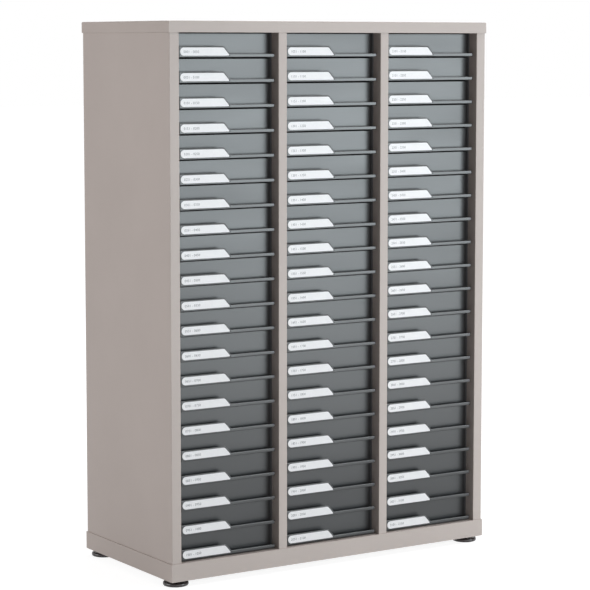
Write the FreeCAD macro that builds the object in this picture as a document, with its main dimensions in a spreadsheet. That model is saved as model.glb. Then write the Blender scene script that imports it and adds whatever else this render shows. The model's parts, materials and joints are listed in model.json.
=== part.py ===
import FreeCAD, Part
import os
import Sketcher

# Cabinet of 63 shallow drawers in three columns. Millimetres, +X right, +Y back, +Z up.
# The origin is the centre of the footprint, on the floor.
doc = FreeCAD.newDocument("drawer_cabinet")
columns = 3
rows = 21
single_rows = 15

# Driving dimensions
dimensions = {
    "opening_width": 230,
    "divider_width": 20,
    "post_width": 21.5,
    "carcass_depth": 360,
    "panel_sheet": 1,
    "cap_sheet": 1.5,
    "cap_fit": 0.5,
    "cap_height": 22.8,
    "cap_clearance": 1.2,
    "cap_edge_radius": 2.5,
    "plinth_height": 36,
    "plinth_flange": 48,
    "rack_thickness": 4,
    "rack_setback": 26,
    "ledge_thickness": 2,
    "ledge_reach": 4.5,
    "slide_gap": 0.3,
    "ledge_floor_gap": 0.2,
    "tray_top_gap": 0.7,
    "drawer_side_gap": 1,
    "drawer_rear_gap": 1,
    "lip_recess": 8,
    "lip_thickness": 2.5,
    "lip_height": 7,
    "front_wall_recess": 26,
    "tray_height": 47,
    "drawer_wall": 2,
    "drawer_base": 2,
    "tab_rim": 2.2,
    "tab_slant_rim": 3.5,
    "tab_corner_radius": 4,
    "label_start": 2.5,
    "label_bottom": 3,
    "label_length": 114,
    "label_height": 16.8,
    "label_slope": 15,
    "label_depth": 0.8,
    "foot_rise": 13,
    "foot_inset_side": 26,
    "foot_inset_front": 30,
    "pad_diameter": 52,
    "pad_thickness": 8,
    "stud_diameter": 8,
    "stud_length": 24,
    "stud_clearance": 0.1,
    "stud_hole_clearance": 0.5,
    "nut_width": 13,
    "nut_height": 6.5,
}
sheet = doc.addObject("Spreadsheet::Sheet", "dim")
for line, (alias, size) in enumerate(dimensions.items(), 1):
    sheet.set(f"A{line}", alias)
    sheet.set(f"B{line}", str(size))
    sheet.setAlias(f"B{line}", alias)
doc.recompute()

# Sizes and places worked out from the driving dimensions
carcass_width = (
    f"({columns} * dim.opening_width + {columns - 1} * dim.divider_width + 2 * dim.post_width)"
)
first_row_gap = "(dim.ledge_thickness + dim.slide_gap + dim.ledge_floor_gap)"
row_pitch = "(dim.tray_height + dim.tray_top_gap + dim.ledge_thickness + dim.slide_gap)"
lap = "(dim.cap_sheet + dim.cap_fit)"
cap_width = f"({carcass_width} + 2 * {lap})"
cap_depth = f"(dim.carcass_depth + 2 * {lap})"
opening_height = f"({rows} * {row_pitch})"
rack_height = f"({opening_height} + {first_row_gap})"
plinth_top = "(dim.foot_rise + dim.plinth_height)"
cap_bottom = f"({plinth_top} + {opening_height} + dim.cap_clearance)"
carcass_top = f"({cap_bottom} + dim.cap_height - dim.cap_sheet)"
carcass_front = "(-dim.carcass_depth / 2)"
carcass_back = "(dim.carcass_depth / 2)"
panel_back = f"({carcass_back} - dim.panel_sheet)"
rack_front = f"({carcass_front} + dim.rack_setback)"
column_step = "(dim.opening_width + dim.divider_width)"
rack_face = "(dim.opening_width / 2 - dim.rack_thickness)"
drawer_width = f"(2 * {rack_face} - 2 * dim.drawer_side_gap)"
lip_front = f"({carcass_front} + dim.lip_recess)"
wall_front = f"({carcass_front} + dim.front_wall_recess)"
wall_back = f"({wall_front} + dim.drawer_wall)"
drawer_back = f"({panel_back} - dim.drawer_rear_gap)"
ledge_front = f"({wall_back} + dim.slide_gap)"
label_slant = "(dim.label_slope / dim.label_height)"
tab_height = "(dim.label_bottom + dim.label_height + dim.tab_rim)"
tab_slope = f"(({tab_height} - dim.lip_height) * {label_slant})"
label_top_end = "(dim.label_start + dim.label_length - dim.label_slope)"
tab_top_end = f"({label_top_end} - dim.tab_rim * {label_slant} + dim.tab_slant_rim)"


def number(expression):
    return float(sheet.evalExpression(expression))


def new_body(label):
    body = doc.addObject("PartDesign::Body", label)
    body.Label = label
    return body


def new_sketch(body, name, role, offset="0"):
    plane = [p for p in body.Origin.OriginFeatures if p.Role == role][0]
    sketch = body.newObject("Sketcher::SketchObject", name)
    sketch.AttachmentSupport = (plane, [""])
    sketch.MapMode = "FlatFace"
    sketch.setExpression("AttachmentOffset.Base.z", offset)
    return sketch


def place_point(sketch, line, end, x, y=None):
    wanted = [("DistanceX", x), ("DistanceY", y)]
    for kind, expression in wanted[: 1 if y is None else 2]:
        rule = Sketcher.Constraint(kind, -1, 1, line, end, number(expression))
        index = sketch.addConstraint(rule)
        sketch.setExpression(f"Constraints[{index}]", expression)


def draw_outline(sketch, points):
    corners = [FreeCAD.Vector(number(x), number(y), 0) for x, y in points]
    first = sketch.GeometryCount
    count = len(points)
    for i in range(count):
        sketch.addGeometry(Part.LineSegment(corners[i], corners[(i + 1) % count]), False)
    for i in range(count):
        following = first + (i + 1) % count
        sketch.addConstraint(Sketcher.Constraint("Coincident", first + i, 2, following, 1))
    for i, (x, y) in enumerate(points):
        place_point(sketch, first + i, 1, x, y)


def draw_box(sketch, left, right, low, high):
    draw_outline(sketch, [(left, low), (right, low), (right, high), (left, high)])


def draw_circle(sketch, x, y, radius):
    centre = FreeCAD.Vector(number(x), number(y), 0)
    circle = sketch.addGeometry(
        Part.Circle(centre, FreeCAD.Vector(0, 0, 1), number(radius)), False
    )
    place_point(sketch, circle, 3, x, y)
    index = sketch.addConstraint(Sketcher.Constraint("Radius", circle, number(radius)))
    sketch.setExpression(f"Constraints[{index}]", radius)


def extrude(body, sketch, name, length, reverse=False):
    pad = body.newObject("PartDesign::Pad", name)
    pad.Profile = sketch
    pad.Reversed = reverse
    pad.setExpression("Length", length)
    doc.recompute()
    return pad


def cut(body, sketch, name, length, reverse=False):
    before = body.Shape.Volume
    pocket = body.newObject("PartDesign::Pocket", name)
    pocket.Profile = sketch
    pocket.Reversed = reverse
    pocket.setExpression("Length", length)
    doc.recompute()
    if body.Shape.Volume > before - 0.01:
        raise RuntimeError(f"{name} removes nothing from {body.Label}")
    return pocket


def round_edges(body, name, radius, wanted):
    edges = [f"Edge{i}" for i, e in enumerate(body.Shape.Edges, 1) if wanted(e)]
    if not edges:
        raise RuntimeError(f"{name} finds no edge on {body.Label}")
    base = body.Tip
    fillet = body.newObject("PartDesign::Fillet", name)
    fillet.Base = (base, edges)
    fillet.setExpression("Radius", radius)
    doc.recompute()
    return fillet


def repeat_up(body, feature, name):
    pattern = body.newObject("PartDesign::LinearPattern", name)
    pattern.Originals = [feature]
    axis = [a for a in body.Origin.OriginFeatures if a.Role == "Z_Axis"][0]
    pattern.Direction = (axis, [""])
    pattern.Occurrences = rows + 1
    pattern.setExpression("Length", opening_height)
    body.Tip = pattern
    doc.recompute()
    return pattern


def upright(edge):
    a, b = edge.Vertexes[0].Point, edge.Vertexes[-1].Point
    return abs(a.x - b.x) < 1e-6 and abs(a.y - b.y) < 1e-6 and abs(a.z - b.z) > 1e-6


def near(a, b):
    return abs(a - b) < 1e-4


def clone(master, label, x="0", y="0", z="0"):
    body = new_body(label)
    base = body.newObject("PartDesign::FeatureBase", f"{label}_base")
    base.BaseFeature = master
    body.Tip = base
    for axis, expression in (("x", x), ("y", y), ("z", z)):
        body.setExpression(f"Placement.Base.{axis}", expression)
    return body


def group(label, members):
    compound = doc.addObject("Part::Compound", label)
    compound.Label = label
    compound.Links = members
    return compound


nodes = []

# Top cap: a folded lid whose skirts lap over the carcass
top_cap = new_body("top_cap")
outline = new_sketch(top_cap, "cap_outline", "XY_Plane", cap_bottom)
half_cap = f"{cap_width} / 2"
half_cap_depth = f"{cap_depth} / 2"
draw_box(outline, f"-{half_cap}", half_cap, f"-{half_cap_depth}", half_cap_depth)
extrude(top_cap, outline, "cap_block", "dim.cap_height")
cap_top_height = number(f"{cap_bottom} + dim.cap_height")
round_edges(
    top_cap,
    "cap_rim",
    "dim.cap_edge_radius",
    lambda e: all(near(v.Z, cap_top_height) for v in e.Vertexes),
)
hollow = new_sketch(top_cap, "cap_hollow_outline", "XY_Plane", cap_bottom)
inner_x = f"({carcass_width} / 2 + dim.cap_fit)"
inner_y = "(dim.carcass_depth / 2 + dim.cap_fit)"
draw_box(hollow, f"-{inner_x}", inner_x, f"-{inner_y}", inner_y)
cut(top_cap, hollow, "cap_hollow", "dim.cap_height - dim.cap_sheet", True)
nodes.append(top_cap)

# Base plinth: a folded base, open below inside its return flange
base_plinth = new_body("base_plinth")
outline = new_sketch(base_plinth, "plinth_outline", "XY_Plane", "dim.foot_rise")
draw_box(outline, f"-{half_cap}", half_cap, f"-{half_cap_depth}", half_cap_depth)
extrude(base_plinth, outline, "plinth_block", "dim.plinth_height")
hollow = new_sketch(base_plinth, "plinth_hollow_outline", "XY_Plane", "dim.foot_rise + dim.cap_sheet")
inner_x = f"({half_cap} - dim.cap_sheet)"
inner_y = f"({half_cap_depth} - dim.cap_sheet)"
draw_box(hollow, f"-{inner_x}", inner_x, f"-{inner_y}", inner_y)
cut(base_plinth, hollow, "plinth_hollow", "dim.plinth_height - 2 * dim.cap_sheet", True)
mouth = new_sketch(base_plinth, "plinth_mouth_outline", "XY_Plane", "dim.foot_rise")
inner_x = f"({half_cap} - dim.plinth_flange)"
inner_y = f"({half_cap_depth} - dim.plinth_flange)"
draw_box(mouth, f"-{inner_x}", inner_x, f"-{inner_y}", inner_y)
cut(base_plinth, mouth, "plinth_mouth", "dim.cap_sheet", True)
foot_x = f"({half_cap} - dim.foot_inset_side)"
foot_y = f"({half_cap_depth} - dim.foot_inset_front)"
corners = {
    "front_left": (f"-{foot_x}", f"-{foot_y}"),
    "front_right": (foot_x, f"-{foot_y}"),
    "rear_left": (f"-{foot_x}", foot_y),
    "rear_right": (foot_x, foot_y),
}
holes = new_sketch(base_plinth, "stud_hole_outlines", "XY_Plane", "dim.foot_rise")
for x, y in corners.values():
    draw_circle(holes, x, y, "dim.stud_diameter / 2 + dim.stud_hole_clearance")
cut(base_plinth, holes, "stud_holes", "dim.cap_sheet", True)
nodes.append(base_plinth)


# Side panels: two skins folded round a closed front edge, open at the top and bottom
def double_skin(label, left, right):
    body = new_body(label)
    section = new_sketch(body, f"{label}_section", "XY_Plane", plinth_top)
    draw_box(section, left, right, carcass_front, panel_back)
    draw_box(
        section,
        f"{left} + dim.panel_sheet",
        f"{right} - dim.panel_sheet",
        f"{carcass_front} + dim.panel_sheet",
        f"{panel_back} - dim.panel_sheet",
    )
    extrude(body, section, f"{label}_skins", f"{carcass_top} - {plinth_top}")
    front = number(carcass_front)
    round_edges(
        body,
        f"{label}_folds",
        "dim.panel_sheet",
        lambda e: upright(e) and near(e.Vertexes[0].Y, front),
    )
    return body


half_carcass = f"({carcass_width} / 2)"
nodes.append(double_skin("left_side_panel", f"-{half_carcass}", f"-{half_carcass} + dim.post_width"))
nodes.append(double_skin("right_side_panel", f"{half_carcass} - dim.post_width", half_carcass))

# Column dividers: the same section, narrower
divider = double_skin("divider_master", "-dim.divider_width / 2", "dim.divider_width / 2")
dividers = []
for i in range(columns - 1):
    dividers.append(clone(divider, f"divider_{i + 1}", f"{i - columns / 2 + 1} * {column_step}"))
nodes.append(group("column_dividers", dividers))

# Back panel: one flat sheet over the rear edges
back_panel = doc.addObject("Part::Box", "back_panel")
back_panel.Label = "back_panel"
back_panel.setExpression("Length", carcass_width)
back_panel.setExpression("Width", "dim.panel_sheet")
back_panel.setExpression("Height", f"{carcass_top} - {plinth_top}")
back_panel.setExpression("Placement.Base.x", f"-{carcass_width} / 2")
back_panel.setExpression("Placement.Base.y", panel_back)
back_panel.setExpression("Placement.Base.z", plinth_top)
nodes.append(back_panel)


# Runner racks: a plate with a ledge under each drawer, which also keeps the drawer below from tipping
def rack(label, side):
    body = new_body(label)
    wall = f"{side} * dim.opening_width / 2"
    face = f"{side} * {rack_face}"
    plate = new_sketch(body, f"{label}_plate_outline", "XY_Plane", plinth_top)
    draw_box(plate, wall, face, rack_front, drawer_back)
    extrude(body, plate, f"{label}_plate", rack_height)
    ledge = new_sketch(
        body,
        f"{label}_ledge_outline",
        "XY_Plane",
        f"{plinth_top} + dim.ledge_floor_gap",
    )
    draw_box(ledge, wall, f"{face} - {side} * dim.ledge_reach", ledge_front, drawer_back)
    lowest = extrude(body, ledge, f"{label}_ledge", "dim.ledge_thickness")
    repeat_up(body, lowest, f"{label}_ledges")
    return body


racks = []
for name, side in (("left", "-1"), ("right", "1")):
    master = rack(f"{name}_rack_master", side)
    for i in range(columns):
        shift = f"{i - (columns - 1) / 2} * {column_step}"
        racks.append(clone(master, f"{name}_rack_{i + 1}", shift))
nodes.append(group("runner_racks", racks))

# Weld nuts on the plinth's return flange
nut = new_body("nut_master")
nut_outline = new_sketch(nut, "nut_outline", "XY_Plane", "dim.foot_rise + dim.cap_sheet")
flat = "(dim.nut_width / 2)"
point = "(dim.nut_width / sqrt(3))"
draw_outline(
    nut_outline,
    [
        (point, "0"),
        (f"{point} / 2", flat),
        (f"-{point} / 2", flat),
        (f"-{point}", "0"),
        (f"-{point} / 2", f"-{flat}"),
        (f"{point} / 2", f"-{flat}"),
    ],
)
draw_circle(nut_outline, "0", "0", "dim.stud_diameter / 2 + dim.stud_clearance")
extrude(nut, nut_outline, "nut_block", "dim.nut_height")
nuts = [clone(nut, f"nut_{corner}", x, y) for corner, (x, y) in corners.items()]
nodes.append(group("foot_nuts", nuts))

# Levelling feet: pad and stud turned in one profile
foot = new_body("foot_master")
turned = new_sketch(foot, "foot_profile", "XZ_Plane")
pad = "(dim.pad_diameter / 2)"
draw_outline(
    turned,
    [
        ("0", "0"),
        (pad, "0"),
        (pad, "dim.pad_thickness"),
        ("dim.stud_diameter / 2", "dim.pad_thickness"),
        ("dim.stud_diameter / 2", "dim.pad_thickness + dim.stud_length"),
        ("0", "dim.pad_thickness + dim.stud_length"),
    ],
)
turn = foot.newObject("PartDesign::Revolution", "foot_turning")
turn.Profile = turned
turn.ReferenceAxis = (turned, ["V_Axis"])
turn.Angle = 360
doc.recompute()
for corner, (x, y) in corners.items():
    nodes.append(clone(foot, f"foot_{corner}", x, y))

# Drawer: a moulded tray on a base plate, modelled with its underside at height zero
drawer = new_body("drawer_master")
half = f"({drawer_width} / 2)"
base_outline = new_sketch(drawer, "base_outline", "XY_Plane")
draw_box(base_outline, f"-{half}", half, lip_front, drawer_back)
extrude(drawer, base_outline, "base_plate", "dim.drawer_base")

# Drawer: lip and label tab, one upright outline seen from the front
tab_outline = new_sketch(drawer, "tab_outline", "XZ_Plane", f"-({lip_front})")
draw_outline(
    tab_outline,
    [
        (f"-{half}", "0"),
        (half, "0"),
        (half, "dim.lip_height"),
        (f"-{half} + {tab_top_end} + {tab_slope}", "dim.lip_height"),
        (f"-{half} + {tab_top_end}", tab_height),
        (f"-{half}", tab_height),
    ],
)
extrude(drawer, tab_outline, "lip_and_tab", "dim.lip_thickness", True)
tab_end = number(f"-{half} + {tab_top_end}")
tab_top = number(tab_height)
round_edges(
    drawer,
    "tab_corner",
    "dim.tab_corner_radius",
    lambda e: all(near(v.X, tab_end) and near(v.Z, tab_top) for v in e.Vertexes),
)

# Drawer: tray walls, with the front wall set back behind the lip to leave a finger trough
tray_outline = new_sketch(drawer, "tray_outline", "XY_Plane")
draw_box(tray_outline, f"-{half}", half, wall_front, drawer_back)
inside = f"({half} - dim.drawer_wall)"
draw_box(tray_outline, f"-{inside}", inside, wall_back, f"{drawer_back} - dim.drawer_wall")
extrude(drawer, tray_outline, "tray_walls", "dim.tray_height")

# Drawer: recess for the label card, round at its left end and slanted at its right
label_left = f"(-{half} + dim.label_start)"
label_top = "(dim.label_bottom + dim.label_height)"
label_outline = new_sketch(drawer, "label_outline", "XZ_Plane", f"-({lip_front})")
radius = number("dim.label_height / 2")
low, high = number("dim.label_bottom"), number(label_top)
left = number(label_left) + radius
arc = label_outline.addGeometry(
    Part.Arc(
        FreeCAD.Vector(left, high, 0),
        FreeCAD.Vector(left - radius, (low + high) / 2, 0),
        FreeCAD.Vector(left, low, 0),
    ),
    False,
)
right_low = number(f"{label_left} + dim.label_length")
right_high = number(f"{label_left} + dim.label_length - dim.label_slope")
ends = [(left, low), (right_low, low), (right_high, high), (left, high)]
points = [FreeCAD.Vector(x, y, 0) for x, y in ends]
lines = [
    label_outline.addGeometry(Part.LineSegment(points[i], points[i + 1]), False)
    for i in range(3)
]
for a, a_end, b, b_end in (
    (lines[0], 2, lines[1], 1),
    (lines[1], 2, lines[2], 1),
    (lines[2], 2, arc, 1),
    (arc, 2, lines[0], 1),
):
    label_outline.addConstraint(Sketcher.Constraint("Coincident", a, a_end, b, b_end))
arc_x = f"{label_left} + dim.label_height / 2"
place_point(label_outline, arc, 3, arc_x)
place_point(label_outline, lines[0], 1, arc_x, "dim.label_bottom")
place_point(label_outline, lines[1], 1, f"{label_left} + dim.label_length", "dim.label_bottom")
place_point(
    label_outline, lines[2], 1, f"{label_left} + dim.label_length - dim.label_slope", label_top
)
place_point(label_outline, lines[2], 2, arc_x, label_top)
cut(drawer, label_outline, "label_recess", "dim.label_depth")

# Drawers in their columns: single ones from the top, the lowest rows of a column in one group
for i in range(columns):
    x = f"{i - (columns - 1) / 2} * {column_step}"
    low_rows = []
    for row in range(1, rows + 1):
        z = f"{plinth_top} + {first_row_gap} + ({rows} - {row}) * {row_pitch}"
        one = clone(drawer, f"drawer_c{i + 1}_r{row:02d}", x, "0", z)
        if row <= single_rows:
            nodes.append(one)
        else:
            low_rows.append(one)
    nodes.append(group(f"drawers_c{i + 1}_r{single_rows + 1}_to_r{rows}", low_rows))

doc.recompute()

# Nothing is written unless every object is sound
for item in doc.Objects:
    if "Invalid" in item.State or "Error" in item.State:
        raise RuntimeError(f"{item.Label}: {item.State}")
for node in nodes:
    if node.Shape.isNull() or not node.Shape.isValid():
        raise RuntimeError(f"{node.Label} has no sound shape")

os.makedirs("parts", exist_ok=True)
for node in nodes:
    node.Shape.exportStep(f"parts/{node.Label}.step")
solids = sum(len(node.Shape.Solids) for node in nodes)
print(f"{len(nodes)} nodes, {solids} solids")
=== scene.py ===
import json
import math

import bmesh
import bpy
from mathutils import Matrix, Vector


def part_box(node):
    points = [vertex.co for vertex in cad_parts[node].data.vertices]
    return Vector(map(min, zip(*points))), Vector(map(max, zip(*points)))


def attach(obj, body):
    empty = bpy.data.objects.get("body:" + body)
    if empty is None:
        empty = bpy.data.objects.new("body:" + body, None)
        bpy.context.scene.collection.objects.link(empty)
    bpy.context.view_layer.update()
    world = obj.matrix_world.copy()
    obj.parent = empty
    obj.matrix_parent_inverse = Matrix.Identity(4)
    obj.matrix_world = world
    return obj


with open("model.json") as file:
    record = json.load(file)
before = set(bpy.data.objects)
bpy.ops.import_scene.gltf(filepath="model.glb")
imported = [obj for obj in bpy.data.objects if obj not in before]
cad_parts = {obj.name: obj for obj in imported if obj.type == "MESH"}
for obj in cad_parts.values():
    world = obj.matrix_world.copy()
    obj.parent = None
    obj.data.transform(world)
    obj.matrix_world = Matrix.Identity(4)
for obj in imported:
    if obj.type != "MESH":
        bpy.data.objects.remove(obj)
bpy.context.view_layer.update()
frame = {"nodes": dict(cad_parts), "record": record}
scene = bpy.context.scene
scene.view_settings.view_transform = "Standard"
nodes = frame["nodes"]


def linear(hexColour):
    parts = [int(hexColour[i:i + 2], 16) / 255 for i in (1, 3, 5)]
    return tuple(p / 12.92 if p <= 0.04045 else ((p + 0.055) / 1.055) ** 2.4 for p in parts) + (1.0,)


def addNode(tree, kind, inputs, **settings):
    node = tree.nodes.new(kind)
    for name, value in settings.items():
        setattr(node, name, value)
    for name, value in inputs.items():
        if isinstance(value, bpy.types.NodeSocket):
            tree.links.new(value, node.inputs[name])
        else:
            node.inputs[name].default_value = value
    return node


def newMaterial(name):
    material = bpy.data.materials.new(name)
    material.use_nodes = True
    tree = material.node_tree
    tree.nodes.clear()
    place = addNode(tree, "ShaderNodeTexCoord", {}).outputs["Object"]
    return material, tree, place


def perMetre(millimetres):  # noise scale whose bumps are this far apart
    return 1000 / millimetres


# Finishes, one for each real material. Pattern sizes and depths are in millimetres.

powderCoat = {
    "light": "#b7aba5", "dark": "#b3a7a1", "cloud": 240.0, "cloudFrom": 0.35, "cloudTo": 0.65,
    "roughness": 0.5, "uneven": 0.05, "ior": 1.5, "peel": 5.0, "peelDepth": 0.4, "peelStrength": 0.06,
}


# Powder-coated sheet steel, sprayed dry and baked: a warm grey satin skin with faint orange peel.
def powderCoatedSteel():
    material, tree, place = newMaterial("powderCoatedSteel")
    # real orange peel is about 1.5 mm across, drawn at 5 mm so that it shows at all
    peel = addNode(tree, "ShaderNodeTexNoise", {
        "Vector": place, "Scale": perMetre(powderCoat["peel"]), "Detail": 2.0, "Roughness": 0.45})
    cloud = addNode(tree, "ShaderNodeTexNoise", {
        "Vector": place, "Scale": perMetre(powderCoat["cloud"]), "Detail": 3.0, "Roughness": 0.6})
    tone = addNode(tree, "ShaderNodeValToRGB", {"Fac": cloud.outputs["Fac"]})
    tone.color_ramp.elements[0].position = powderCoat["cloudFrom"]
    tone.color_ramp.elements[0].color = linear(powderCoat["dark"])
    tone.color_ramp.elements[1].position = powderCoat["cloudTo"]
    tone.color_ramp.elements[1].color = linear(powderCoat["light"])
    satin = addNode(tree, "ShaderNodeMapRange", {
        "Value": peel.outputs["Fac"],
        "To Min": powderCoat["roughness"] - powderCoat["uneven"],
        "To Max": powderCoat["roughness"] + powderCoat["uneven"]})
    bump = addNode(tree, "ShaderNodeBump", {
        "Height": peel.outputs["Fac"], "Strength": powderCoat["peelStrength"],
        "Distance": powderCoat["peelDepth"] / 1000})
    paint = addNode(tree, "ShaderNodeBsdfPrincipled", {
        "Base Color": tone.outputs["Color"], "Roughness": satin.outputs["Result"],
        "Normal": bump.outputs["Normal"], "IOR": powderCoat["ior"]})
    addNode(tree, "ShaderNodeOutputMaterial", {"Surface": paint.outputs["BSDF"]})
    return material


polystyrene = {
    "body": "#1e1f21", "flow": "#222325", "flowMarks": 90.0, "flowStretch": (0.35, 1.0, 1.6),
    "flowFrom": 0.3, "flowTo": 0.7, "roughness": 0.31, "glossier": 0.02, "duller": 0.03, "ior": 1.59,
    "grain": 3.0, "grainDepth": 0.2, "grainStrength": 0.05,
}


# Injection-moulded polystyrene: near-black grey with a gloss that mirrors large bright shapes softly.
def mouldedPolystyrene():
    material, tree, place = newMaterial("mouldedPolystyrene")
    stretch = addNode(tree, "ShaderNodeMapping", {"Vector": place, "Scale": polystyrene["flowStretch"]})
    flow = addNode(tree, "ShaderNodeTexNoise", {
        "Vector": stretch.outputs["Vector"], "Scale": perMetre(polystyrene["flowMarks"]), "Detail": 3.0})
    # the mould's spark grain is about 0.3 mm, drawn at 3 mm so that it shows
    grain = addNode(tree, "ShaderNodeTexNoise", {
        "Vector": place, "Scale": perMetre(polystyrene["grain"]), "Detail": 2.0})
    tone = addNode(tree, "ShaderNodeValToRGB", {"Fac": flow.outputs["Fac"]})
    tone.color_ramp.elements[0].position = polystyrene["flowFrom"]
    tone.color_ramp.elements[0].color = linear(polystyrene["body"])
    tone.color_ramp.elements[1].position = polystyrene["flowTo"]
    tone.color_ramp.elements[1].color = linear(polystyrene["flow"])
    gloss = addNode(tree, "ShaderNodeMapRange", {
        "Value": flow.outputs["Fac"], "From Min": polystyrene["flowFrom"], "From Max": polystyrene["flowTo"],
        "To Min": polystyrene["roughness"] - polystyrene["glossier"],
        "To Max": polystyrene["roughness"] + polystyrene["duller"]})
    bump = addNode(tree, "ShaderNodeBump", {
        "Height": grain.outputs["Fac"], "Strength": polystyrene["grainStrength"],
        "Distance": polystyrene["grainDepth"] / 1000})
    plastic = addNode(tree, "ShaderNodeBsdfPrincipled", {
        "Base Color": tone.outputs["Color"], "Roughness": gloss.outputs["Result"],
        "Normal": bump.outputs["Normal"], "IOR": polystyrene["ior"]})
    addNode(tree, "ShaderNodeOutputMaterial", {"Surface": plastic.outputs["BSDF"]})
    return material


polypropylene = {
    "body": "#454648", "bloom": "#4c4d4f", "mottle": 25.0, "roughness": 0.45, "uneven": 0.08, "ior": 1.49,
}


# Moulded polypropylene runners: dark grey and waxy, with a dull bloom where drawers rub.
def mouldedPolypropylene():
    material, tree, place = newMaterial("mouldedPolypropylene")
    mottle = addNode(tree, "ShaderNodeTexNoise", {
        "Vector": place, "Scale": perMetre(polypropylene["mottle"]), "Detail": 4.0})
    tone = addNode(tree, "ShaderNodeValToRGB", {"Fac": mottle.outputs["Fac"]})
    tone.color_ramp.elements[0].color = linear(polypropylene["body"])
    tone.color_ramp.elements[1].color = linear(polypropylene["bloom"])
    dull = addNode(tree, "ShaderNodeMapRange", {
        "Value": mottle.outputs["Fac"],
        "To Min": polypropylene["roughness"] - polypropylene["uneven"],
        "To Max": polypropylene["roughness"] + polypropylene["uneven"]})
    plastic = addNode(tree, "ShaderNodeBsdfPrincipled", {
        "Base Color": tone.outputs["Color"], "Roughness": dull.outputs["Result"],
        "IOR": polypropylene["ior"]})
    addNode(tree, "ShaderNodeOutputMaterial", {"Surface": plastic.outputs["BSDF"]})
    return material


footNylon = {
    "body": "#2a2223", "worn": "#3a3031", "scuff": 14.0, "scuffFrom": 0.45, "scuffTo": 0.75,
    "roughness": 0.22, "glossier": 0.06, "duller": 0.12, "ior": 1.53,
}


# Moulded glass-filled nylon of the levelling feet: dark brown, shiny, scuffed a little paler.
def mouldedNylon():
    material, tree, place = newMaterial("mouldedNylon")
    scuff = addNode(tree, "ShaderNodeTexNoise", {
        "Vector": place, "Scale": perMetre(footNylon["scuff"]), "Detail": 5.0, "Roughness": 0.65})
    tone = addNode(tree, "ShaderNodeValToRGB", {"Fac": scuff.outputs["Fac"]})
    tone.color_ramp.elements[0].position = footNylon["scuffFrom"]
    tone.color_ramp.elements[0].color = linear(footNylon["body"])
    tone.color_ramp.elements[1].position = footNylon["scuffTo"]
    tone.color_ramp.elements[1].color = linear(footNylon["worn"])
    shine = addNode(tree, "ShaderNodeMapRange", {
        "Value": scuff.outputs["Fac"],
        "To Min": footNylon["roughness"] - footNylon["glossier"],
        "To Max": footNylon["roughness"] + footNylon["duller"]})
    plastic = addNode(tree, "ShaderNodeBsdfPrincipled", {
        "Base Color": tone.outputs["Color"], "Roughness": shine.outputs["Result"],
        "IOR": footNylon["ior"]})
    addNode(tree, "ShaderNodeOutputMaterial", {"Surface": plastic.outputs["BSDF"]})
    return material


zincPlate = {"bright": "#b9bcbf", "dull": "#9a9da0", "spangle": 2.5, "roughness": 0.35, "uneven": 0.08}


# Zinc-plated steel of nuts and rivets: a pale metal with a slightly uneven, bluish brightness.
def zincPlatedSteel():
    material, tree, place = newMaterial("zincPlatedSteel")
    # plating crystals are far under 1 mm, drawn at 2.5 mm so that they show
    spangle = addNode(tree, "ShaderNodeTexVoronoi", {
        "Vector": place, "Scale": perMetre(zincPlate["spangle"])})
    tone = addNode(tree, "ShaderNodeValToRGB", {"Fac": spangle.outputs["Distance"]})
    tone.color_ramp.elements[0].color = linear(zincPlate["bright"])
    tone.color_ramp.elements[1].color = linear(zincPlate["dull"])
    shine = addNode(tree, "ShaderNodeMapRange", {
        "Value": spangle.outputs["Distance"],
        "To Min": zincPlate["roughness"] - zincPlate["uneven"],
        "To Max": zincPlate["roughness"] + zincPlate["uneven"]})
    metal = addNode(tree, "ShaderNodeBsdfPrincipled", {
        "Base Color": tone.outputs["Color"], "Roughness": shine.outputs["Result"], "Metallic": 1.0})
    addNode(tree, "ShaderNodeOutputMaterial", {"Surface": metal.outputs["BSDF"]})
    return material


cardStock = {
    "white": "#e6e4e5", "fibre": "#e3e1e2", "fibreLength": 4.0, "fibreFrom": 0.35, "fibreTo": 0.6,
    "fibreDepth": 0.1, "fibreStrength": 0.02, "roughness": 0.75,
    "film": 0.25, "filmShare": 0.5, "filmIor": 1.5,  # roughness, weight and IOR of the clear film
}


# White card under a clear film: matt paper colour with a glossy skin over it.
def filmedCard():
    material, tree, place = newMaterial("filmedCard")
    # paper fibres are about 1 mm long, drawn at 4 mm so that they show
    fibre = addNode(tree, "ShaderNodeTexNoise", {
        "Vector": place, "Scale": perMetre(cardStock["fibreLength"]), "Detail": 4.0, "Distortion": 1.5})
    tone = addNode(tree, "ShaderNodeValToRGB", {"Fac": fibre.outputs["Fac"]})
    tone.color_ramp.elements[0].position = cardStock["fibreFrom"]
    tone.color_ramp.elements[0].color = linear(cardStock["fibre"])
    tone.color_ramp.elements[1].position = cardStock["fibreTo"]
    tone.color_ramp.elements[1].color = linear(cardStock["white"])
    bump = addNode(tree, "ShaderNodeBump", {
        "Height": fibre.outputs["Fac"], "Strength": cardStock["fibreStrength"],
        "Distance": cardStock["fibreDepth"] / 1000})
    card = addNode(tree, "ShaderNodeBsdfPrincipled", {
        "Base Color": tone.outputs["Color"], "Roughness": cardStock["roughness"],
        "Normal": bump.outputs["Normal"], "Coat Weight": cardStock["filmShare"],
        "Coat Roughness": cardStock["film"], "Coat IOR": cardStock["filmIor"]})
    addNode(tree, "ShaderNodeOutputMaterial", {"Surface": card.outputs["BSDF"]})
    return material


printInk = {"ink": "#5a5b5f", "thin": "#6c6d71", "speckle": 1.2, "roughness": 0.6}


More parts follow.
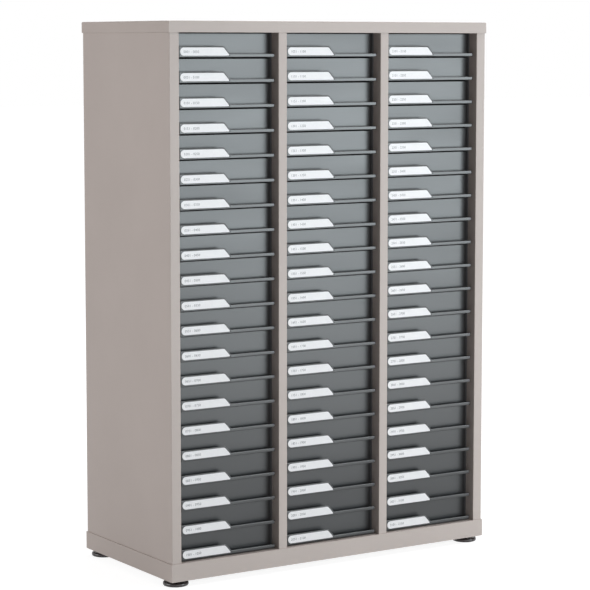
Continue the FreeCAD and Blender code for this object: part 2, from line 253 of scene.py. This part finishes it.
# Toner printed on the card: soft dark grey, a little uneven, seen through the same film.
def printedInk():
    material, tree, place = newMaterial("printedInk")
    # toner specks are about 0.1 mm, drawn at 1.2 mm so that they show
    speckle = addNode(tree, "ShaderNodeTexNoise", {
        "Vector": place, "Scale": perMetre(printInk["speckle"]), "Detail": 3.0})
    tone = addNode(tree, "ShaderNodeValToRGB", {"Fac": speckle.outputs["Fac"]})
    tone.color_ramp.elements[0].color = linear(printInk["ink"])
    tone.color_ramp.elements[1].color = linear(printInk["thin"])
    ink = addNode(tree, "ShaderNodeBsdfPrincipled", {
        "Base Color": tone.outputs["Color"], "Roughness": printInk["roughness"],
        "Coat Weight": cardStock["filmShare"], "Coat Roughness": cardStock["film"],
        "Coat IOR": cardStock["filmIor"]})
    addNode(tree, "ShaderNodeOutputMaterial", {"Surface": ink.outputs["BSDF"]})
    return material


finishes = {
    "taupe_powder_coat": powderCoatedSteel(),
    "drawer_plastic": mouldedPolystyrene(),
    "rack_plastic": mouldedPolypropylene(),
    "foot_plastic": mouldedNylon(),
    "plated_steel": zincPlatedSteel(),
}
card = filmedCard()
ink = printedInk()
print("finishes made:", ", ".join(m.name for m in finishes.values()))

# CAD nodes: their finish, and edges eased as folding and moulding leave them. Sizes are in millimetres.

edgeEase = {
    "taupe_powder_coat": 0.45, "drawer_plastic": 0.35, "rack_plastic": 0.09,
    "foot_plastic": 3.0, "plated_steel": 0.4,
}
edges = {"weld": 0.001, "steps": 2, "flatWithin": 1.0, "sharperThan": 40.0}  # the last two are degrees
labels = {
    # the recess, from the drawer's lower left corner
    "start": 2.5, "bottom": 3.0, "length": 114.0, "height": 16.8, "slope": 15.0, "recess": 0.8,
    # the card in it, with its clearances and corner radii
    "thickness": 0.5, "gap": 0.35, "tipGap": 0.77, "corner": 6.0, "tip": 1.5,
    "endShare": 0.98, "arcSteps": 10,
    # the printed numbers, with a digit's share of the font's size
    "digitHeight": 5.0, "digitShare": 0.72, "digitStart": 10.0, "digitBase": 8.8, "digitSpacing": 1.05,
    "digitSteps": 3, "inkDepth": 0.05, "perDrawer": 50,
}
lipRound = {
    "tab": 1.6, "lip": 1.2, "steps": 3,  # tabs are rounded more than lips
    "tabEnd": 118.0, "lipTop": 6.5,  # the tab is left of the one and above the other
    "reach": 0.2, "depth": 0.01,  # how near counts as on the recess and on the front
}
slotOf = {p["node"]: p["material_slot"] for p in frame["record"]["subparts"]}
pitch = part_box("drawer_c1_r01")[0].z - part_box("drawer_c1_r02")[0].z


def inRecess(across, up):
    reach = lipRound["reach"]
    rise = up - labels["bottom"]
    right = labels["start"] + labels["length"] - rise * labels["slope"] / labels["height"]
    beside = labels["start"] - reach < across < right + 2 * reach
    return beside and 0 < rise + reach < labels["height"] + 2 * reach


def onTab(across, up):
    return across < lipRound["tabEnd"] and up > lipRound["lipTop"]


def roundLips(obj):  # front outline of lips and tabs, without that of the label recess
    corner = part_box(obj.name)[0]
    slack = 0.0001  # keeps a drawer's lowest points from counting as the top of the row below
    outline = {}
    for vertex in obj.data.vertices:
        place = obj.matrix_world @ vertex.co - corner
        across, up = place.x * 1000, ((place.z + slack) % pitch - slack) * 1000
        if place.y * 1000 < lipRound["depth"] and not inRecess(across, up):
            outline[vertex.index] = (across, up)
    share = obj.data.attributes.new("bevel_weight_edge", "FLOAT", "EDGE")
    for edge in obj.data.edges:
        if all(i in outline for i in edge.vertices):
            tabEdge = all(onTab(*outline[i]) for i in edge.vertices)
            share.data[edge.index].value = 1.0 if tabEdge else lipRound["lip"] / lipRound["tab"]
    rounded = obj.modifiers.new("roundedLips", "BEVEL")
    rounded.width = lipRound["tab"] / 1000
    rounded.segments = lipRound["steps"]
    rounded.limit_method = "WEIGHT"
    rounded.use_clamp_overlap = False
    rounded.loop_slide = False


for name, obj in nodes.items():
    slotName = slotOf[name]
    isDrawer = slotName == "drawer_plastic"
    obj.data.materials.clear()
    obj.data.materials.append(finishes[slotName])
    weld = obj.modifiers.new("weld", "WELD")
    weld.merge_threshold = edges["weld"] / 1000
    flat = obj.modifiers.new("flatFaces", "DECIMATE")
    flat.decimate_type = "DISSOLVE"
    flat.angle_limit = math.radians(edges["flatWithin"])
    if isDrawer:
        roundLips(obj)
    ease = obj.modifiers.new("easedEdges", "BEVEL")
    ease.width = edgeEase[slotName] / 1000
    ease.segments = edges["steps"]
    ease.limit_method = "ANGLE"
    ease.angle_limit = math.radians(edges["sharperThan"])
    ease.use_clamp_overlap = ease.loop_slide = not isDrawer  # rims of the drawers' recesses are narrow
    obj.modifiers.new("faceNormals", "WEIGHTED_NORMAL").keep_sharp = True
    obj.data.polygons.foreach_set("use_smooth", [True] * len(obj.data.polygons))
print("nodes finished:", len(nodes))

# Label cards in the recesses of the drawers


def roundedOutline(corners):  # corners are (x, z, radius), anticlockwise
    points = []
    count = len(corners)
    for i, (x, z, radius) in enumerate(corners):
        here = Vector((x, z))
        before = (Vector(corners[i - 1][:2]) - here).normalized()
        after = (Vector(corners[(i + 1) % count][:2]) - here).normalized()
        half = before.angle(after) / 2
        centre = here + (before + after).normalized() * radius / math.sin(half)
        first = here + before * radius / math.tan(half) - centre
        last = here + after * radius / math.tan(half) - centre
        sweep = first.angle_signed(last)
        for step in range(labels["arcSteps"] + 1):
            turned = first.copy()
            turned.rotate(Matrix.Rotation(-sweep * step / labels["arcSteps"], 2))
            points.append(centre + turned)
    return points


def cardOutline():
    left, low = labels["start"] + labels["gap"], labels["bottom"] + labels["gap"]
    high = labels["bottom"] + labels["height"] - labels["gap"]
    right = labels["start"] + labels["length"] - labels["tipGap"]
    lean = labels["slope"] * (high - low) / labels["height"]
    end = (high - low) / 2 * labels["endShare"]
    return roundedOutline([
        (left, low, end), (right, low, labels["tip"]),
        (right - lean, high, labels["corner"]), (left, high, end)])


def digitsMesh(text):
    curve = bpy.data.curves.new("digits", "FONT")
    curve.body = text
    curve.size = labels["digitHeight"] / labels["digitShare"]
    curve.space_character = labels["digitSpacing"]
    curve.resolution_u = labels["digitSteps"]
    curve.extrude = labels["inkDepth"] / 2
    holder = bpy.data.objects.new("digits", curve)
    scene.collection.objects.link(holder)
    bpy.context.view_layer.update()
    shown = holder.evaluated_get(bpy.context.evaluated_depsgraph_get())
    mesh = bpy.data.meshes.new_from_object(shown)
    bpy.data.objects.remove(holder)
    bpy.data.curves.remove(curve)
    return mesh


def addCard(bm, corner, text):  # corner is the drawer's lower left front corner, in metres
    def place(x, y, z):
        return Vector((corner.x + x / 1000, y, corner.z + z / 1000))

    back = corner.y + labels["recess"] / 1000
    front = back - labels["thickness"] / 1000
    outline = cardOutline()
    rear = [bm.verts.new(place(p.x, back, p.y)) for p in outline]
    face = [bm.verts.new(place(p.x, front, p.y)) for p in outline]
    bm.faces.new(face)
    bm.faces.new(rear[::-1])
    for i in range(len(face)):
        j = (i + 1) % len(face)
        bm.faces.new((face[j], face[i], rear[i], rear[j]))
    digits = digitsMesh(text)
    inkMiddle = front - labels["inkDepth"] / 2000
    printed = []
    for v in digits.vertices:
        across, up = labels["digitStart"] + v.co.x, labels["digitBase"] + v.co.y
        printed.append(bm.verts.new(place(across, inkMiddle - v.co.z / 1000, up)))
    for polygon in digits.polygons:
        bm.faces.new([printed[i] for i in polygon.vertices]).material_index = 1
    bmesh.ops.remove_doubles(bm, verts=printed, dist=1e-7)  # closes the thin layer of ink
    bpy.data.meshes.remove(digits)


def labelPiece(body, corners, numbers):
    bm = bmesh.new()
    for corner, text in zip(corners, numbers):
        addCard(bm, corner, text)
    mesh = bpy.data.meshes.new(f"label_{body}")
    bm.to_mesh(mesh)
    bm.free()
    mesh.materials.append(card)
    mesh.materials.append(ink)
    piece = bpy.data.objects.new(f"label_{body}", mesh)
    scene.collection.objects.link(piece)
    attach(piece, body)


columns, singleRows, allRows = 3, 15, 21  # the rows under the single ones move as one group


def drawerNumbers(column, row):  # running numbers, down each column
    last = ((column - 1) * allRows + row) * labels["perDrawer"]
    return f"{last - labels['perDrawer'] + 1:04d} - {last:04d}"


for column in range(1, columns + 1):
    for row in range(1, singleRows + 1):
        body = f"drawer_c{column}_r{row:02d}"
        labelPiece(body, [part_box(body)[0]], [drawerNumbers(column, row)])
    body = f"drawers_c{column}_r{singleRows + 1}_to_r{allRows}"
    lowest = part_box(body)[0]
    rows = range(singleRows + 1, allRows + 1)
    corners = [lowest + Vector((0, 0, (allRows - row) * pitch)) for row in rows]
    labelPiece(body, corners, [drawerNumbers(column, row) for row in rows])
print("labels made:", columns * allRows)

# Blind rivets that hold the back panel to the sides and dividers

rivets = {
    "across": (-0.3755, -0.125, 0.125, 0.3755), "up": (0.085, 0.335, 0.585, 0.835, 1.080),  # metres
    "radius": 3.2, "dome": 1.3, "mandrel": 1.1, "sides": 20,
}


def rivetPiece():
    bm = bmesh.new()
    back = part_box("back_panel")[1].y
    r, h, m, sides = (rivets[key] for key in ("radius", "dome", "mandrel", "sides"))
    # rim, dome and the hollow that the broken mandrel leaves: radius and height
    profile = [
        (r, 0.0), (r, 0.25), (r * 0.86, 0.65 * h), (r * 0.6, 0.93 * h),
        (m * 1.1, h), (m, h - 0.15), (m * 0.8, h - 0.4), (0.0, h - 0.45)]
    for x in rivets["across"]:
        for z in rivets["up"]:
            rings = []
            for radius, height in profile[:-1]:
                rings.append([bm.verts.new((
                    x + radius / 1000 * math.cos(math.tau * i / sides), back + height / 1000,
                    z + radius / 1000 * math.sin(math.tau * i / sides))) for i in range(sides)])
            tip = bm.verts.new((x, back + profile[-1][1] / 1000, z))
            for low, high in zip(rings, rings[1:]):
                for i in range(sides):
                    j = (i + 1) % sides
                    bm.faces.new((low[j], low[i], high[i], high[j]))
            for i in range(sides):
                bm.faces.new((rings[-1][(i + 1) % sides], rings[-1][i], tip))
            bm.faces.new(rings[0])
    for face in bm.faces:
        face.smooth = True
    mesh = bpy.data.meshes.new("back_rivets")
    bm.to_mesh(mesh)
    bm.free()
    mesh.materials.append(finishes["plated_steel"])
    piece = bpy.data.objects.new("back_rivets", mesh)
    scene.collection.objects.link(piece)
    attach(piece, "carcass")


rivetPiece()
print("rivets made:", len(rivets["across"]) * len(rivets["up"]))

# Studio: white floor that keeps a soft shadow, white world and six softboxes

studio = {
    "floorSize": 60.0, "floorGlow": 0.88, "floorTone": "#9a9a9a", "bounceTone": "#d8d8d8",
    "shadowStart": 1.04, "shadowReach": 2.6, "ambient": 0.16,
}
softboxes = {
    "key": {"from": (2.55, -4.05, 1.05), "at": (0.0, 0.0, 1.05), "size": (2.4, 2.0), "power": 113.0,
            "colour": "#eefaff"},  # cool, as from a window, and mirrored in the drawers
    "low": {"from": (0.7, -1.25, 0.26), "at": (0.0, -0.15, 0.26), "size": (1.2, 0.48), "power": 1.1},
    "top": {"from": (2.7, -1.6, 4.5), "at": (0.0, -0.18, 0.55), "size": (1.8, 2.7), "power": 100.0},
    "front": {"from": (-0.6, -5.0, 0.3), "at": (0.0, 0.0, 0.3), "size": (2.2, 0.6), "power": 28.0},
    "rear": {"from": (1.6, 2.2, 3.2), "at": (0.0, 0.0, 0.8), "size": (2.0, 1.6), "power": 52.0},
    "fill": {"from": (-4.6, 1.0, 1.7), "at": (0.0, 0.0, 0.7), "size": (2.5, 2.5), "power": 90.0},
}


def seenDirectly(tree):  # 1 where the camera looks, also in a mirror or through glass
    path = addNode(tree, "ShaderNodeLightPath", {})
    mirrored = addNode(tree, "ShaderNodeMath", {
        0: path.outputs["Is Camera Ray"], 1: path.outputs["Is Glossy Ray"]}, operation="MAXIMUM")
    return addNode(tree, "ShaderNodeMath", {
        0: mirrored.outputs[0], 1: path.outputs["Is Transmission Ray"]}, operation="MAXIMUM").outputs[0]


# White studio floor: plain pale sheet, glowing just to white where seen, so that only the shadow shows.
def studioFloor():
    material, tree, place = newMaterial("studioFloor")
    seen = seenDirectly(tree)
    distance = addNode(tree, "ShaderNodeVectorMath", {0: place}, operation="LENGTH").outputs["Value"]
    away = addNode(tree, "ShaderNodeMapRange", {
        "Value": distance, "From Min": studio["shadowStart"], "From Max": studio["shadowReach"],
        "To Min": studio["floorGlow"], "To Max": 1.0}, interpolation_type="SMOOTHSTEP").outputs["Result"]
    glow = addNode(tree, "ShaderNodeMath", {0: seen, 1: away}, operation="MULTIPLY").outputs[0]
    tone = addNode(tree, "ShaderNodeMix", {
        "Factor": seen, "A": linear(studio["bounceTone"]),
        "B": linear(studio["floorTone"])}, data_type="RGBA")
    matt = addNode(tree, "ShaderNodeBsdfDiffuse", {"Color": tone.outputs["Result"]})
    light = addNode(tree, "ShaderNodeEmission", {"Strength": glow})
    both = addNode(tree, "ShaderNodeAddShader", {0: matt.outputs["BSDF"], 1: light.outputs["Emission"]})
    addNode(tree, "ShaderNodeOutputMaterial", {"Surface": both.outputs["Shader"]})
    half = studio["floorSize"] / 2
    corners = [(-half, -half, 0), (half, -half, 0), (half, half, 0), (-half, half, 0)]
    mesh = bpy.data.meshes.new("studioFloor")
    mesh.from_pydata(corners, [], [(0, 1, 2, 3)])
    mesh.materials.append(material)
    floor = bpy.data.objects.new("studioFloor", mesh)
    scene.collection.objects.link(floor)


def studioWorld():
    world = bpy.data.worlds.new("studioWorld")
    world.use_nodes = True
    tree = world.node_tree
    tree.nodes.clear()
    level = addNode(tree, "ShaderNodeMapRange", {
        "Value": seenDirectly(tree), "To Min": studio["ambient"], "To Max": 1.0})
    sky = addNode(tree, "ShaderNodeBackground", {
        "Color": linear("#ffffff"), "Strength": level.outputs["Result"]})
    addNode(tree, "ShaderNodeOutputWorld", {"Surface": sky.outputs["Background"]})
    scene.world = world


def addSoftbox(name, box):
    lamp = bpy.data.lights.new(name, "AREA")
    lamp.shape = "RECTANGLE"
    lamp.size, lamp.size_y = box["size"]
    lamp.energy = box["power"]
    lamp.color = linear(box.get("colour", "#ffffff"))[:3]
    holder = bpy.data.objects.new(name, lamp)
    holder.location = box["from"]
    aim = Vector(box["at"]) - Vector(box["from"])
    holder.rotation_euler = aim.to_track_quat("-Z", "Y").to_euler()
    scene.collection.objects.link(holder)


studioFloor()
studioWorld()
for name, box in softboxes.items():
    addSoftbox(name, box)

view = {
    "at": (-2.4952, -3.8683, 1.0776), "sensor": 36.0, "lens": 132.948, "shift": -0.06,
    "pitch": 5.6511, "yaw": 33.0443,  # degrees, down and to the right
}
lens = bpy.data.cameras.new("camera")
lens.sensor_width = view["sensor"]
lens.lens = view["lens"]
lens.shift_y = view["shift"]
camera = bpy.data.objects.new("camera", lens)
camera.location = view["at"]
camera.rotation_euler = (math.radians(90 - view["pitch"]), 0, math.radians(-view["yaw"]))
scene.collection.objects.link(camera)
scene.camera = camera
print("studio and camera set")
